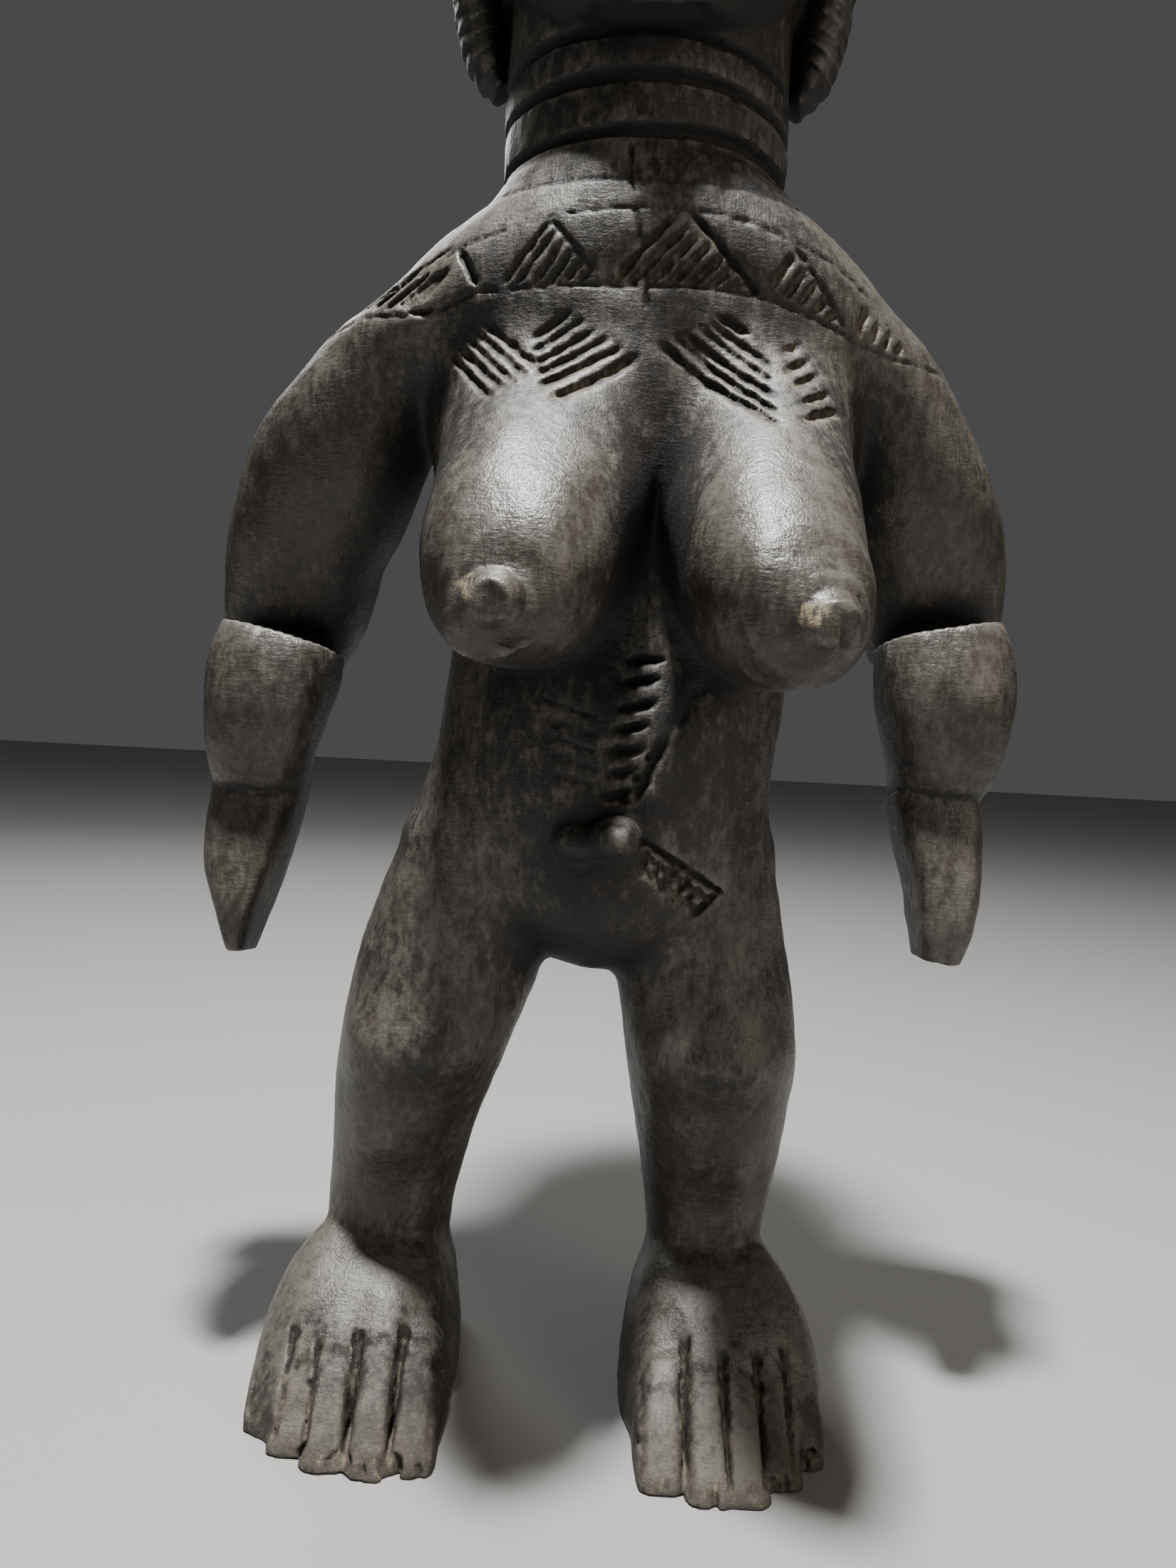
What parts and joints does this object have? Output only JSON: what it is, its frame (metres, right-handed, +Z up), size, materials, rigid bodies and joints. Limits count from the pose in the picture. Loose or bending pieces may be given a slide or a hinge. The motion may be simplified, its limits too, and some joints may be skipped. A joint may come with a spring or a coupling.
{
  "type": "carved wooden female figure",
  "caption": "Standing carved wooden female fertility figure with drooping breasts, ringed neck, hatched collar and chest chevrons.",
  "frame": {"origin": "on the floor under the middle of the figure's bounding box", "axes": "+Z up through the head; the figure looks along -Y; +X is on the viewer's right"},
  "size_m": [0.2452, 0.1654, 0.5246],
  "materials": {
    "wood": "dark stained hardwood, waxed satin, grey with handling and dust"
  },
  "bodies": {
    "root": {"figure": "wood"}
  },
  "joints": []
}
